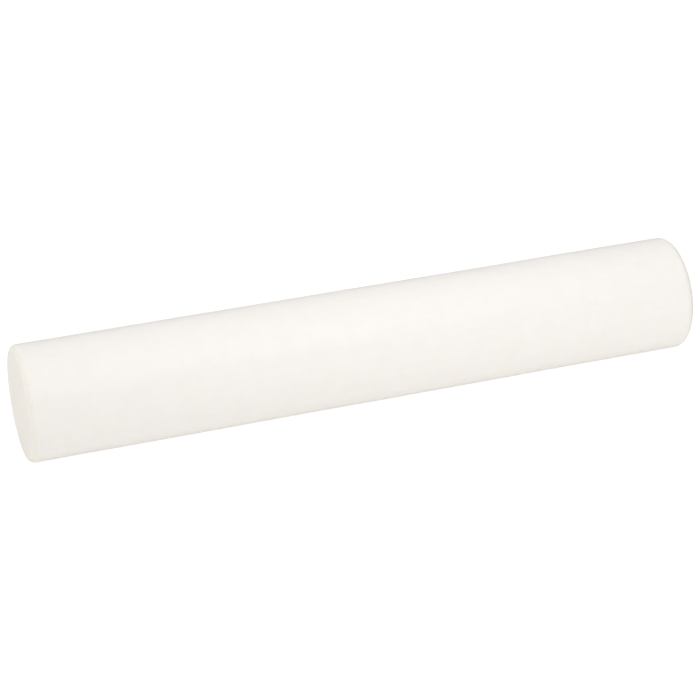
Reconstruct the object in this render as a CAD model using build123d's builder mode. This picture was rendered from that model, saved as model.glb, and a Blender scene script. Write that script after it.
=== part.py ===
"""Foam roller: one solid log of extruded closed-cell polyethylene foam, lying on its side.

Units are millimetres. The log's long axis is X, the origin is its centre, and Z is up.
"""

import os

from build123d import *

INCH = 25.4

# Driving dimensions
LOG_LENGTH = 36 * INCH
LOG_DIAMETER = 6 * INCH
RIM_RADIUS = 8.0  # the soft edge where the round skin turns into a cut end

# The log starts from its cut end at -X and is extruded along its length, as the real one is.
near_end = Plane.YZ.offset(-LOG_LENGTH / 2)

with BuildPart() as foam_log:
    with BuildSketch(near_end):
        Circle(LOG_DIAMETER / 2)
    extrude(amount=LOG_LENGTH)
    rims = foam_log.edges().filter_by(GeomType.CIRCLE)
    fillet(rims, radius=RIM_RADIUS)

foam_log.part.label = "foam_log"

os.makedirs("parts", exist_ok=True)
export_step(foam_log.part, "parts/foam_log.step")
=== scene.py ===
"""Foam roller: the visual model of one solid log of white polyethylene foam, and the studio it stands in.

The log is a single closed mesh of quads. Its outline follows the CAD log, and on top of that come the
small faults of the real thing: foam that isn't perfectly round, draw lines from the extruder, soft
dents, and two ends cut a little unevenly. Everything finer than the mesh is in the material's nodes.
"""

import math

import bpy
import numpy as np
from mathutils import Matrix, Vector, noise


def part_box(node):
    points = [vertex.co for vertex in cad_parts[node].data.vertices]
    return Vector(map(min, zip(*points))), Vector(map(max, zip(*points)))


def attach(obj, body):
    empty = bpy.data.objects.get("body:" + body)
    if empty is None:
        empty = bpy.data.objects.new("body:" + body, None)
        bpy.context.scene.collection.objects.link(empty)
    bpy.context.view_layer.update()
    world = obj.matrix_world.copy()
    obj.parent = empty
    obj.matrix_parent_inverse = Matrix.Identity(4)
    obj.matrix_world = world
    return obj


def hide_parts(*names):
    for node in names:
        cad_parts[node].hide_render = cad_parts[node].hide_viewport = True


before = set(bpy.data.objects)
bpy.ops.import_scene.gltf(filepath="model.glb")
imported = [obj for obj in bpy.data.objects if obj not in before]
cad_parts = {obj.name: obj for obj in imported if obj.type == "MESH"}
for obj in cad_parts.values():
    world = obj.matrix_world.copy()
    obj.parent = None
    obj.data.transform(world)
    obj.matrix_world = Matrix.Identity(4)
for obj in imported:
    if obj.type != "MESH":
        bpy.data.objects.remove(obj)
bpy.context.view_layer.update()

MM = 0.001
NODE = "foam_log"

# The log, from the frame
low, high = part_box(NODE)
HALF_LENGTH = (high.x - low.x) / 2
RADIUS = (high.z - low.z) / 2
FLOOR_HEIGHT = low.z

# The rim, which the CAD log rounds by the same amount
RIM = 8 * MM
FLAT_RADIUS = RADIUS - RIM  # the flat part of a cut end
STRAIGHT = HALF_LENGTH - RIM  # how far the straight skin reaches from the middle of the log

# The square grid of quads in the middle of a cut end
CORE = 60  # quads along each of its sides
CORE_REACH = 0.6  # how far it reaches from the middle of the flat, as a share of the flat's radius
CORE_BULGE = 0.45  # 0 leaves it square, 1 makes it round
CORE_SIDE = 1.15 * math.sqrt(0.5)  # half of its square part's side, as a share of that reach

# The rings of quads round it
AROUND = 4 * CORE  # quads in one ring
CUT_RINGS = 16  # between the grid and the rim
RIM_RINGS = 8
BODY_RINGS = 300

ROUNDING = 1e-7  # lengths and angles closer than this count as equal


# ---------------------------------------------------------------------------------------------- mesh


def ring_angles():
    """The angle of each point round the log, starting from a corner of the square grid."""
    return -math.pi / 4 + 2 * math.pi * np.arange(AROUND) / AROUND


def core_grid():
    """The square grid in the middle of a cut end, as points of the unit disc, one row per grid column."""
    side = np.linspace(-1, 1, CORE + 1)
    u, v = np.meshgrid(side, side, indexing="ij")
    square_part = CORE_SIDE * np.stack([u, v], -1)

    beside = np.abs(u) >= np.abs(v)  # in the quarters left and right of the middle
    larger = np.where(beside, u, v)
    smaller = np.where(beside, v, u)
    across = smaller / np.where(larger == 0, 1, larger)
    turn = np.where(beside, across, 2 - across) * math.pi / 4
    round_part = np.stack([larger * np.cos(turn), larger * np.sin(turn)], -1)
    return CORE_REACH * ((1 - CORE_BULGE) * square_part + CORE_BULGE * round_part)


def core_border():
    """The grid's border points in order round the log, as (column, row) pairs."""
    n = CORE
    right = [(n, k) for k in range(n)]
    top = [(n - k, n) for k in range(n)]
    left = [(0, n - k) for k in range(n)]
    bottom = [(k, 0) for k in range(n)]
    return right + top + left + bottom


class Surface:
    """The log's points and their outward normals, before any relief."""

    def __init__(self):
        self.points = np.empty((0, 3))
        self.normals = np.empty((0, 3))

    def add(self, points, normals):
        """Adds the points and returns their indices."""
        first = len(self.points)
        self.points = np.concatenate([self.points, points])
        self.normals = np.concatenate([self.normals, normals])
        return first + np.arange(len(points))


def add_flat(surface, side, across):
    """Points on the flat of the cut end on the given side, -1 or 1, from their y and z."""
    points = np.column_stack([np.full(len(across), side * HALF_LENGTH), across])
    normals = np.tile([side, 0.0, 0.0], (len(across), 1))
    return surface.add(points, normals)


def add_ring(surface, x, radius, lean):
    """One ring of points. lean is the normal's angle from straight out, towards +X."""
    angle = ring_angles()
    out = np.stack([np.zeros(AROUND), np.cos(angle), np.sin(angle)], -1)
    along = np.array([1.0, 0.0, 0.0])
    points = x * along + radius * out
    normals = math.sin(lean) * along + math.cos(lean) * out
    return surface.add(points, normals)


def add_core(surface, side):
    """The square grid of a cut end: the indices of its points, and those of its border."""
    grid = FLAT_RADIUS * core_grid().reshape(-1, 2)
    ids = add_flat(surface, side, grid).reshape(CORE + 1, CORE + 1)
    border = np.array([ids[i, j] for i, j in core_border()])
    return ids, border


def add_cut_rings(surface, side, border):
    """The rings from a square grid's border to the rim."""
    angle = ring_angles()
    inner = surface.points[border][:, 1:]
    outer = FLAT_RADIUS * np.stack([np.cos(angle), np.sin(angle)], -1)
    shares = np.arange(1, CUT_RINGS + 1) / CUT_RINGS
    return [add_flat(surface, side, (1 - share) * inner + share * outer) for share in shares]


def add_rim_rings(surface, side):
    """The rings round the rim, from the cut end to the skin. The last one lies on the skin."""
    rings = []
    for step in range(1, RIM_RINGS + 1):
        lean = math.pi / 2 * (1 - step / RIM_RINGS)
        x = side * (STRAIGHT + RIM * math.sin(lean))
        rings.append(add_ring(surface, x, FLAT_RADIUS + RIM * math.cos(lean), side * lean))
    return rings


def core_quads(ids, side):
    """The quads of a square grid, facing out of the log on the given side."""
    a, b, c, d = ids[:-1, :-1], ids[1:, :-1], ids[1:, 1:], ids[:-1, 1:]
    corners = (a, b, c, d) if side > 0 else (a, d, c, b)
    return np.stack([corner.ravel() for corner in corners], -1)


def ring_quads(rings):
    """The quads between neighbouring rings, from the left end to the right, facing out."""
    quads = []
    for left, right in zip(rings[:-1], rings[1:]):
        quads.append(np.stack([left, np.roll(left, -1), np.roll(right, -1), right], -1))
    return np.concatenate(quads)


def build_surface():
    """The log's surface and all its quads."""
    surface = Surface()
    left_core, left_border = add_core(surface, -1)
    right_core, right_border = add_core(surface, 1)
    left_cut = add_cut_rings(surface, -1, left_border)
    left_rim = add_rim_rings(surface, -1)
    body_x = np.linspace(-STRAIGHT, STRAIGHT, BODY_RINGS + 1)[1:-1]
    body = [add_ring(surface, x, RADIUS, 0.0) for x in body_x]
    right_rim = add_rim_rings(surface, 1)
    right_cut = add_cut_rings(surface, 1, right_border)

    rings = [left_border, *left_cut, *left_rim, *body, *right_rim[::-1], *right_cut[::-1], right_border]
    quads = np.concatenate([ring_quads(rings), core_quads(left_core, -1), core_quads(right_core, 1)])
    return surface, quads


# -------------------------------------------------------------------------------------------- relief

# The skin: how high each kind of relief stands, and how big its lumps are
SWELL = (0.35 * MM, 150 * MM)
UNEVEN = (0.28 * MM, 28 * MM)
DRAW_LINES = (0.07 * MM, np.array([500, 9, 9]) * MM)
PEEL = (0.10 * MM, 8 * MM)

# The cut ends
SWAY = (0.15 * MM, 60 * MM)  # the blade's slow wandering
TORN = (0.05 * MM, 2.6 * MM)
RIPPLE_HEIGHT = 0.035 * MM
RIPPLE_PITCH = 5.2 * MM
RIPPLE_SWAY = 4  # how strongly the wandering bends the ripple
BLADE_WAY = np.array([0.0, 0.94, 0.34])  # the way that the blade went through the foam
CROWN = 0.25 * MM  # how far the edge of a cut end lies behind its middle
CROWN_TOP = 0.1 * MM  # how far that middle stands out

# The rim
RIM_WEAR = 0.4 * MM  # the most that is worn off it, halfway round
WEAR_SIZE = 45 * MM  # the size of the stretches with more and less wear
CUT_STARTS = 0.35  # how far a normal points along the log where the cut's relief starts
CUT_COMPLETE = 0.95

# The dents in the skin
SEED = 36
DENTS = 14
DENT_REACH = 0.95  # how near the ends they get, as a share of the half length
DENT_LENGTH = (10 * MM, 28 * MM)
DENT_WIDTH = (7 * MM, 16 * MM)
DENT_DEPTH = (0.08 * MM, 0.25 * MM)


def noise_at(points, size):
    """Smooth noise between -1 and 1 at each point. size is one number, or one per axis, in metres."""
    return np.array([noise.noise(Vector(p)) for p in points / size])


def relief(kind, points, shift):
    """One kind of relief. shift sets it apart from the other kinds."""
    height, size = kind
    return height * noise_at(points + shift, size)


def smooth_step(value, start, end):
    """0 up to start, 1 from end on, and a smooth rise between them."""
    share = np.clip((value - start) / (end - start), 0, 1)
    return share * share * (3 - 2 * share)


def dent_depth(points):
    """A few shallow places where the foam was pressed in and hasn't quite sprung back."""
    random = np.random.default_rng(SEED)
    depth = np.zeros(len(points))
    for _ in range(DENTS):
        x = random.uniform(-DENT_REACH, DENT_REACH) * HALF_LENGTH
        angle = random.uniform(0, 2 * math.pi)
        centre = np.array([x, RADIUS * math.cos(angle), RADIUS * math.sin(angle)])
        length = random.uniform(*DENT_LENGTH)
        width = random.uniform(*DENT_WIDTH)
        deepest = random.uniform(*DENT_DEPTH)
        away = (points - centre) / np.array([length, width, width])
        depth += deepest * np.exp(-(away**2).sum(-1))
    return depth


def skin_relief(points):
    """How far the extruded skin stands off a true cylinder."""
    broad = relief(SWELL, points, 0.0) + relief(UNEVEN, points, 1.0)
    fine = relief(DRAW_LINES, points, 0.0) + relief(PEEL, points, 2.0)
    return broad + fine - dent_depth(points)


def cut_relief(points):
    """How far a cut end stands off a true plane: the blade's wandering and ripple, torn cells, a crown."""
    sway = relief(SWAY, points, 3.0)
    along_cut = points @ BLADE_WAY + RIPPLE_SWAY * sway
    ripple = RIPPLE_HEIGHT * np.sin(2 * math.pi * along_cut / RIPPLE_PITCH)
    torn = relief(TORN, points, 4.0)
    from_middle = np.hypot(points[:, 1], points[:, 2])
    crown = CROWN_TOP - CROWN * smooth_step(from_middle, 0, RADIUS)
    return sway + ripple + torn + crown


def add_relief(points, normals):
    """The points moved along their normals by the skin's relief and the cut ends' relief."""
    facing_end = np.abs(normals[:, 0])
    on_cut = smooth_step(facing_end, CUT_STARTS, CUT_COMPLETE)
    height = (1 - on_cut) * skin_relief(points) + on_cut * cut_relief(points)
    on_rim = 4 * facing_end**2 * (1 - facing_end**2)  # 1 halfway round the rim, 0 where it ends
    height -= RIM_WEAR * on_rim * (1 + noise_at(points + 5.0, WEAR_SIZE)) / 2
    return points + normals * height[:, None]


# ------------------------------------------------------------------------------------------ unrolled

# The map has the skin as a strip along its bottom, and the two cut ends as discs above it.
MARGIN = 0.01
STRIP_SCALE = (1 - 2 * MARGIN) / (2 * STRAIGHT)
DISC_RADIUS = 0.215
DISC_HEIGHT = 0.77
DISC_APART = 0.25  # how far each disc's middle is from the map's middle line
DISC_REACH = FLAT_RADIUS + RIM * math.pi / 2  # from the middle of a cut end to the skin, over the rim


def unrolled_strip(corners):
    """Places on the map for quads of the skin. Each quad stays in one piece."""
    whole_turn = 2 * math.pi
    angle = np.arctan2(corners[..., 2], corners[..., 1])
    first = angle[:, :1]
    angle = first + (angle - first + math.pi) % whole_turn - math.pi  # the quad's corners, side by side
    lowest = angle.min(1, keepdims=True)
    angle = angle - whole_turn * np.floor((lowest + ROUNDING) / whole_turn)  # the quad, in the first turn
    u = MARGIN + (STRAIGHT - corners[..., 0]) * STRIP_SCALE
    v = MARGIN + angle * RADIUS * STRIP_SCALE
    return np.stack([u, v], -1)


def unrolled_disc(side, corners):
    """Places on the map for quads of a cut end and its rim, by their distance along the surface."""
    out = np.hypot(corners[..., 1], corners[..., 2])
    turn = np.arccos(np.clip((np.abs(corners[..., 0]) - STRAIGHT) / RIM, 0, 1))
    distance = np.where(out <= FLAT_RADIUS + ROUNDING, out, FLAT_RADIUS + RIM * turn)
    scale = DISC_RADIUS * distance / DISC_REACH / np.where(out == 0, 1, out)
    centre = np.array([0.5 + DISC_APART * side, DISC_HEIGHT])
    mirrored = np.array([side, 1.0])
    return centre + corners[..., 1:] * scale[..., None] * mirrored


def make_uv_map(mesh, plain_points, quads):
    """The bake's map, from the points without their relief."""
    corners = plain_points[quads]
    uv = unrolled_strip(corners)
    on_end = np.abs(corners[..., 0]).max(1) > STRAIGHT + ROUNDING
    for side in (-1, 1):
        chosen = on_end & (side * corners[..., 0].mean(1) > 0)
        uv[chosen] = unrolled_disc(side, corners[chosen])
    layer = mesh.uv_layers.new(name="OFBake")
    layer.data.foreach_set("uv", uv.astype(np.float32).ravel())


def make_log():
    """The roller's one piece."""
    surface, quads = build_surface()
    points = add_relief(surface.points, surface.normals)
    mesh = bpy.data.meshes.new("foam_log_skin")
    mesh.from_pydata(points.tolist(), [], quads.tolist())
    mesh.shade_smooth()
    make_uv_map(mesh, surface.points, quads)
    mesh.update()
    log = bpy.data.objects.new("foam_log_visual", mesh)
    bpy.context.scene.collection.objects.link(log)
    return log


# ----------------------------------------------------------------------------------------- materials

SKIN_LIGHT = (0.945, 0.925, 0.890, 1)
SKIN_DEEP = (0.915, 0.888, 0.840, 1)
CUT_LIGHT = (0.940, 0.915, 0.862, 1)
# The next colour is that of the sliced cells' floors: painted shade in the cups, darker and yellower than
# the walls
CUT_CUP_SHADE = (0.862, 0.824, 0.744, 1)
SKIN_ROUGHNESS = (0.44, 0.60)
CUT_ROUGHNESS = (0.72, 0.88)

OUTLINE_SHADE = (0.650, 0.610, 0.570, 1)  # painted shade: the colour that the foam's colour goes towards at the log's outline, where the surface turns away from the camera
SKIN_SHADE_FALLOFF = 5.5  # the lower, the farther in from the outline that the painted shade starts
# The same for the painted outline shade on the cut ends
CUT_SHADE_FALLOFF = 12.0

# The marks in the foam. Their sizes, distances and heights are in millimetres.
CUT_REACH = (5.0, 9.5)  # how far from the end the cut's look starts to give way to the skin's, and is gone
RAGGED = 9.0  # the size of the wander in that border

# The skin's marks
BUBBLE = 2.4
FINE_BUBBLE = 1.1
BUBBLE_SOFTNESS = 0.35  # 0 has a sharp crease between two bubbles
BUBBLE_EDGE = 0.75  # how far from its middle a bubble stops swelling, in bubbles
MOTTLE = 26.0
STREAK = 3.5
STREAK_DRAWN = 0.012  # how much the streaks are squeezed along the log, which draws them out
PEEL_LUMP = 7.0

# How much the second of two blended marks counts, from 0 to 1
FINE_IN_BUBBLES = 0.25
FINE_IN_TONE = 0.3
STREAKS_IN_CLOUDS = 0.35
BUBBLES_IN_COLOUR = 0.45
PEEL_IN_ROUGHNESS = 0.5

# The cut ends' marks
CELL = 1.9
FINE_CELL = 1.0
CELL_BEND = 2.0  # the size of the bends that make the cells uneven
CELL_WALL = (0.02, 0.34)  # where a cell's wall ends and its floor starts, in cells
PATCH = 8.0  # the size of the patches with coarser and finer cells
PATCH_CHANGE = (0.35, 0.65)  # where in the patches' noise the coarse cells give way to fine ones
FINE_IN_PATCH = (0.1, 0.6)  # the fine cells' share in a coarse patch and in a fine one
PATCHES_IN_COLOUR = 0.2

FAINTEST_CELL = 0.3  # how strong the faintest bubble or cell is, where the strongest is 1
MOST_NOISE = (0.3, 0.7)  # where most of a noise's values lie

# How high or deep the marks stand
SWELLING_HEIGHT = 0.10
PEEL_HEIGHT = 0.22
STREAK_HEIGHT = 0.06
CELL_DEPTH = 0.34
PATCH_HEIGHT = 0.15

SUBSURFACE_REACH = 3.0  # how far light spreads inside the foam


class Tree:
    """A node tree with one short call per node. An input is a number, a colour or another node's output."""

    def __init__(self, tree):
        self.tree = tree
        tree.nodes.clear()

    def add(self, kind, inputs=None, **settings):
        """A node of a kind, with its settings and its inputs by name or number."""
        node = self.tree.nodes.new("ShaderNode" + kind)
        for name, value in settings.items():
            setattr(node, name, value)
        for key, value in (inputs or {}).items():
            if isinstance(value, bpy.types.NodeSocket):
                self.tree.links.new(value, node.inputs[key])
            else:
                node.inputs[key].default_value = value
        return node

    def math(self, operation, a, b=0.0):
        return self.add("Math", {0: a, 1: b}, operation=operation).outputs[0]

    def scale(self, vector, factor):
        return self.add("VectorMath", {0: vector, 3: factor}, operation="SCALE").outputs[0]

    def parts(self, vector):
        """Its x, y and z."""
        return self.add("SeparateXYZ", {0: vector}).outputs

    def spread(self, value, start, end, low=0.0, high=1.0):
        """value from start..end made into low..high, smoothly and without overshoot."""
        inputs = {0: value, 1: start, 2: end, 3: low, 4: high}
        return self.add("MapRange", inputs, interpolation_type="SMOOTHSTEP").outputs[0]

    def blend(self, share, a, b):
        """Between numbers a and b."""
        return self.add("Mix", {0: share, 2: a, 3: b}, data_type="FLOAT").outputs[0]

    def tint(self, share, a, b):
        """Between colours a and b."""
        return self.add("Mix", {0: share, 6: a, 7: b}, data_type="RGBA").outputs[2]

    def sum(self, *terms):
        """The sum of (height, value) terms, each value times its height."""
        total = 0.0
        for height, value in terms:
            total = self.add("Math", {0: value, 1: height, 2: total}, operation="MULTIPLY_ADD").outputs[0]
        return total

    def noise(self, place, size, detail=2.0):
        """Noise around 0.5 whose lumps are about size across, in the place's own unit."""
        inputs = {"Vector": place, "Scale": 1 / size, "Detail": detail}
        return self.add("TexNoise", inputs).outputs[0]

    def voronoi(self, place, size, feature, **settings):
        """A pattern of cells about size across."""
        inputs = {"Vector": place, "Scale": 1 / size}
        return self.add("TexVoronoi", inputs, feature=feature, **settings)

    def tone(self, cell):
        """A number between 0 and 1 that is the cell's own."""
        return self.add("SeparateColor", {0: cell.outputs["Color"]}).outputs[0]

    def bubbles(self, place, size):
        """Round foam bubbles about size across: the way out from a bubble's middle, and its tone."""
        cell = self.voronoi(place, size, "SMOOTH_F1")
        cell.inputs["Smoothness"].default_value = BUBBLE_SOFTNESS
        return cell.outputs["Distance"], self.tone(cell)

    def sliced_cells(self, place, size):
        """Foam cells cut through, about size across: the way in from a cell's wall, and its tone."""
        wall = self.voronoi(place, size, "DISTANCE_TO_EDGE", voronoi_dimensions="2D")
        cell = self.voronoi(place, size, "F1", voronoi_dimensions="2D")
        return wall.outputs["Distance"], self.tone(cell)


def foam_places(tree):
    """The place on the log in millimetres, and the same place squeezed along the log."""
    metres = tree.add("TexCoord").outputs["Object"]
    place = tree.scale(metres, 1 / MM)
    squeeze = (STREAK_DRAWN, 1.0, 1.0)
    drawn = tree.add("VectorMath", {0: place, 1: squeeze}, operation="MULTIPLY").outputs[0]
    return place, drawn


def cut_share(tree, place):
    """0 on the skin and 1 on a cut end, with the change on the rim."""
    x = tree.parts(place)[0]
    from_end = tree.math("SUBTRACT", HALF_LENGTH / MM, tree.math("ABSOLUTE", x))
    ragged = tree.math("ADD", from_end, tree.noise(place, RAGGED))
    return tree.spread(ragged, *CUT_REACH, 1.0, 0.0)


def skin_look(tree, place, drawn):
    """Colour, roughness and height of the extruded skin: closed cells swelling under a thin satin film."""
    bubble, tone = tree.bubbles(place, BUBBLE)
    fine_bubble, fine_tone = tree.bubbles(place, FINE_BUBBLE)
    mottle = tree.noise(place, MOTTLE, detail=3.0)
    streaks = tree.noise(drawn, STREAK, detail=3.0)
    peel = tree.noise(place, PEEL_LUMP, detail=0.0)

    from_middle = tree.blend(FINE_IN_BUBBLES, bubble, fine_bubble)
    swelling = tree.spread(from_middle, 0.0, BUBBLE_EDGE, 1.0, 0.0)
    own_tone = tree.spread(tree.blend(FINE_IN_TONE, tone, fine_tone), 0.0, 1.0, FAINTEST_CELL, 1.0)
    inside = tree.math("MULTIPLY", swelling, own_tone)
    clouds = tree.spread(tree.blend(STREAKS_IN_CLOUDS, mottle, streaks), *MOST_NOISE)
    colour = tree.tint(tree.blend(BUBBLES_IN_COLOUR, clouds, inside), SKIN_LIGHT, SKIN_DEEP)
    roughness = tree.spread(tree.blend(PEEL_IN_ROUGHNESS, mottle, peel), *MOST_NOISE, *SKIN_ROUGHNESS)
    height = tree.sum((SWELLING_HEIGHT, swelling), (PEEL_HEIGHT, peel), (STREAK_HEIGHT, streaks))
    return colour, roughness, height


def cell_cups(tree, place, size):
    """How deep the sliced cells lie: 0 on their walls, up to 1 on a deep cell's floor."""
    wall, tone = tree.sliced_cells(place, size)
    deepest = tree.spread(tone, 0.0, 1.0, FAINTEST_CELL, 1.0)
    return tree.math("MULTIPLY", tree.spread(wall, *CELL_WALL), deepest)


def cut_look(tree, place):
    """Colour, roughness and height of a cut end: cells sliced open, each a small matt cup."""
    part = tree.parts(place)
    across = tree.add("CombineXYZ", {0: part[1], 1: part[2]}).outputs[0]
    bend_inputs = {"Vector": across, "Scale": 1 / CELL_BEND, "Detail": 1.0}
    bend = tree.add("TexNoise", bend_inputs).outputs["Color"]
    bent = tree.add("VectorMath", {0: across, 1: bend}, operation="ADD").outputs[0]

    patches = tree.noise(place, PATCH, detail=3.0)
    fine_share = tree.spread(patches, *PATCH_CHANGE, *FINE_IN_PATCH)
    depth = tree.blend(fine_share, cell_cups(tree, bent, CELL), cell_cups(tree, bent, FINE_CELL))
    # Darker towards the cells' floors: painted shade in the cups, mixed with the patches' own tone
    colour = tree.tint(tree.blend(PATCHES_IN_COLOUR, depth, patches), CUT_LIGHT, CUT_CUP_SHADE)
    roughness = tree.spread(depth, 0.0, 1.0, *CUT_ROUGHNESS)
    height = tree.sum((-CELL_DEPTH, depth), (PATCH_HEIGHT, patches))
    return colour, roughness, height


def painted_outline_shade(tree, cut, colour):
    """The colour with painted shade near the outline, darkest where the surface turns away from the camera.
    """
    facing = tree.add("LayerWeight", {0: 0.5}).outputs["Facing"]
    share = tree.math("POWER", facing, tree.blend(cut, SKIN_SHADE_FALLOFF, CUT_SHADE_FALLOFF))
    return tree.tint(share, colour, OUTLINE_SHADE)


def foam_material():
    """White closed-cell polyethylene foam, skin and cut ends in one material."""
    material = bpy.data.materials.new("white_polyethylene_foam")
    material.use_nodes = True
    tree = Tree(material.node_tree)
    place, drawn = foam_places(tree)
    cut = cut_share(tree, place)
    skin_colour, skin_roughness, skin_height = skin_look(tree, place, drawn)
    end_colour, end_roughness, end_height = cut_look(tree, place)
    height = tree.blend(cut, skin_height, end_height)
    bump = tree.add("Bump", {"Strength": 1.0, "Distance": MM, "Height": height})
    look = {
        # The base colour carries the painted shade at the outline
        "Base Color": painted_outline_shade(tree, cut, tree.tint(cut, skin_colour, end_colour)),
        "Roughness": tree.blend(cut, skin_roughness, end_roughness),
        "IOR": 1.45,
        "Subsurface Weight": 0.25,
        "Subsurface Radius": (1.0, 0.85, 0.65),
        "Subsurface Scale": SUBSURFACE_REACH * MM,
        "Normal": bump.outputs[0],
    }
    foam = tree.add("BsdfPrincipled", look)
    tree.add("OutputMaterial", {0: foam.outputs[0]})
    return material


# -------------------------------------------------------------------------------------------- studio

# The floor, in metres
FLOOR_REACH = 8.0
FLOOR_SEEN = (0.92, 0.92, 0.92)  # its brightness to the camera, before the lamps' light is added
FLOOR_GLOW = (0.860, 0.842, 0.825)  # the light that it throws back on the log
FLOOR_PAPER = (0.16, 0.16, 0.16, 1)  # the part of the paper that takes light and shadow
FIBRE = 0.004  # the size of the paper's fibres
FIBRE_TONE = (0.99, 1.0)
SHADE_REACH = 0.10  # how far from under the log's axis its shade on the paper goes
SHADE_LEFT = 0.74  # the share of the floor's light that is still thrown back right under the log
SHADE_END = 2.0  # how much faster that shade fades past the ends of the log

# The room's light, and for each wide soft panel in it the way to the panel and its strength
ROOM_LIGHT = 0.32
OVERHEAD_PANEL = ((0.0, 0.0, 1.0), 0.59)
NEAR_END_PANEL = ((-1.0, 0.0, 0.15), 0.86)
FAR_END_PANEL = ((1.0, 0.9, 0.0), 0.32)  # partly behind the log
PANEL_FOCUS = 2.0  # the higher, the narrower the panels

KEY_COLOUR = (1.0, 0.925, 0.935)

CAMERA_LENS = 116.84
CAMERA_DISTANCE = 3.015
CAMERA_AZIMUTH = math.radians(-19.21)
CAMERA_ELEVATION = math.radians(29.94)
CAMERA_AIM = Vector((-11.7, 1.0, -5.1)) * MM


def seen_by_camera(tree):
    """1 for what the camera sees directly, 0 for light that reaches the log."""
    return tree.add("LightPath").outputs["Is Camera Ray"]


def thrown_back(tree, place):
    """The light from the floor to the log, less of it from the paper in the log's shade."""
    part = tree.parts(place)
    beside = tree.math("ABSOLUTE", part[1])
    past_end = tree.math("SUBTRACT", tree.math("ABSOLUTE", part[0]), HALF_LENGTH)
    away = tree.math("MAXIMUM", beside, tree.math("MULTIPLY", past_end, SHADE_END))
    return tree.scale(FLOOR_GLOW, tree.spread(away, 0.0, SHADE_REACH, SHADE_LEFT, 1.0))


def floor_material():
    """White paper, glowing like a light table, so that the camera sees next to no shadow on it."""
    material = bpy.data.materials.new("white_paper")
    material.use_nodes = True
    tree = Tree(material.node_tree)
    place = tree.add("TexCoord").outputs["Object"]
    fibres = tree.spread(tree.noise(place, FIBRE), *MOST_NOISE, *FIBRE_TONE)
    seen = tree.scale(FLOOR_SEEN, fibres)
    light = tree.tint(seen_by_camera(tree), thrown_back(tree, place), seen)
    glow = tree.add("Emission", {"Color": light, "Strength": 1.0})
    paper = tree.add("BsdfDiffuse", {"Color": FLOOR_PAPER})
    both = tree.add("AddShader", {0: glow.outputs[0], 1: paper.outputs[0]})
    tree.add("OutputMaterial", {0: both.outputs[0]})
    return material


def make_floor():
    """The square of paper that the log lies on."""
    mesh = bpy.data.meshes.new("floor")
    r = FLOOR_REACH
    corners = [(-r, -r), (r, -r), (r, r), (-r, r)]
    mesh.from_pydata([(x, y, FLOOR_HEIGHT) for x, y in corners], [], [(0, 1, 2, 3)])
    mesh.materials.append(floor_material())
    floor = bpy.data.objects.new("floor", mesh)
    bpy.context.scene.collection.objects.link(floor)


def panel_light(tree, direction, panel):
    """A wide soft panel's light on the log: most from its own way, none from the other half of the room."""
    axis, strength = panel
    axis = Vector(axis).normalized()
    towards = tree.add("VectorMath", {0: direction, 1: axis}, operation="DOT_PRODUCT").outputs["Value"]
    facing = tree.math("MAXIMUM", towards, 0.0)
    return tree.math("MULTIPLY", tree.math("POWER", facing, PANEL_FOCUS), strength)


def make_world():
    """A white room to the camera. To the log it is an even light with three wide soft panels."""
    world = bpy.data.worlds.new("studio")
    bpy.context.scene.world = world
    world.use_nodes = True
    tree = Tree(world.node_tree)
    direction = tree.add("TexCoord").outputs["Generated"]
    light = ROOM_LIGHT
    for panel in (OVERHEAD_PANEL, NEAR_END_PANEL, FAR_END_PANEL):
        light = tree.math("ADD", panel_light(tree, direction, panel), light)
    strength = tree.blend(seen_by_camera(tree), light, 1.0)
    glow = tree.add("Background", {"Color": (1, 1, 1, 1), "Strength": strength})
    tree.add("OutputWorld", {0: glow.outputs[0]})


def make_softbox(name, centre, aim, size, power, colour=(1, 1, 1)):
    """A soft rectangular lamp at centre, facing aim. size is its width and height in metres."""
    lamp = bpy.data.lights.new(name, "AREA")
    lamp.shape = "RECTANGLE"
    lamp.size, lamp.size_y = size
    lamp.energy = power
    lamp.color = colour
    box = bpy.data.objects.new(name, lamp)
    box.location = centre
    box.rotation_mode = "QUATERNION"
    box.rotation_quaternion = (Vector(aim) - Vector(centre)).to_track_quat("-Z", "Y")
    bpy.context.scene.collection.objects.link(box)


def make_lamps():
    """The key lamp over the front, a lamp over the near end, and a low one in front of the far half."""
    make_softbox("key_softbox", (0.1, -0.8, 1.3), (0, 0, 0), (0.6, 0.6), power=4.75, colour=KEY_COLOUR)
    make_softbox("near_end_softbox", (-0.9, -0.6, 1.3), (-0.3, 0, 0), (1.0, 1.0), power=1.15)
    make_softbox("low_strip", (0.45, -1.0, 0.05), (0.2, 0, 0), (0.8, 0.3), power=0.83)


def make_camera():
    """A long lens, above the front of the log and a little to its left."""
    camera = bpy.data.objects.new("camera", bpy.data.cameras.new("camera"))
    camera.data.lens = CAMERA_LENS
    level = math.cos(CAMERA_ELEVATION)
    sideways = math.sin(CAMERA_AZIMUTH) * level
    forwards = -math.cos(CAMERA_AZIMUTH) * level
    back = Vector((sideways, forwards, math.sin(CAMERA_ELEVATION)))  # from the aim back to the camera
    camera.location = CAMERA_AIM + CAMERA_DISTANCE * back
    camera.rotation_mode = "QUATERNION"
    camera.rotation_quaternion = back.to_track_quat("Z", "Y")
    bpy.context.scene.collection.objects.link(camera)
    bpy.context.scene.camera = camera


log = make_log()
log.data.materials.append(foam_material())
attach(log, "root")
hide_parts(NODE)

make_floor()
make_world()
make_lamps()
make_camera()
bpy.context.scene.view_settings.view_transform = "Standard"
